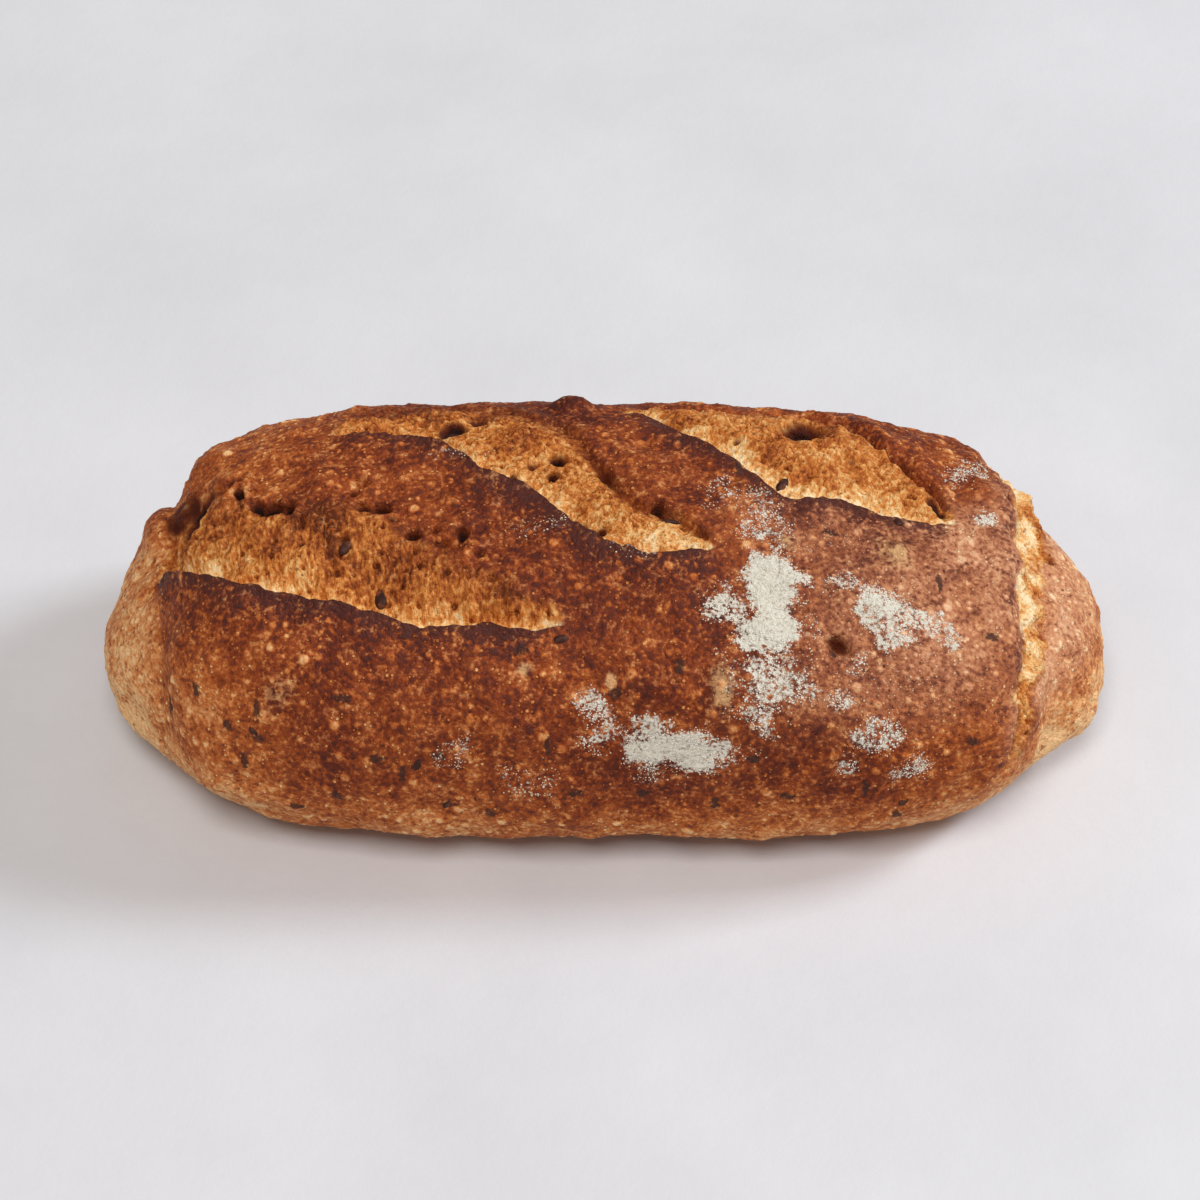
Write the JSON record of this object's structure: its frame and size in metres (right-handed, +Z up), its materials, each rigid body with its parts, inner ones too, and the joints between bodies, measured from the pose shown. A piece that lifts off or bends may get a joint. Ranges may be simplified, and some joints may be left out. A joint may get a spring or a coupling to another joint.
{
  "type": "seeded bread loaf",
  "caption": "Long seeded wholegrain loaf of bread with round ends, slanting cuts torn open across its crown and a flat base to stand on.",
  "frame": {"origin": "middle of the flat base, on the surface that the loaf stands on", "axes": "+X along the loaf towards its torn end, +Y from the side with the fewer cuts towards the other long side, +Z up out of the base"},
  "size_m": [0.2334, 0.1128, 0.0686],
  "materials": {
    "crust": "matt baked crust, red-brown with small pale blisters, burnt darker along the cuts",
    "torn_crumb": "matt golden torn bread with fine strands and small holes",
    "linseed": "dark brown, slightly glossy seed skin",
    "flour": "matt off-white flour dust"
  },
  "bodies": {
    "root": {"loaf": "crust"}
  },
  "joints": []
}
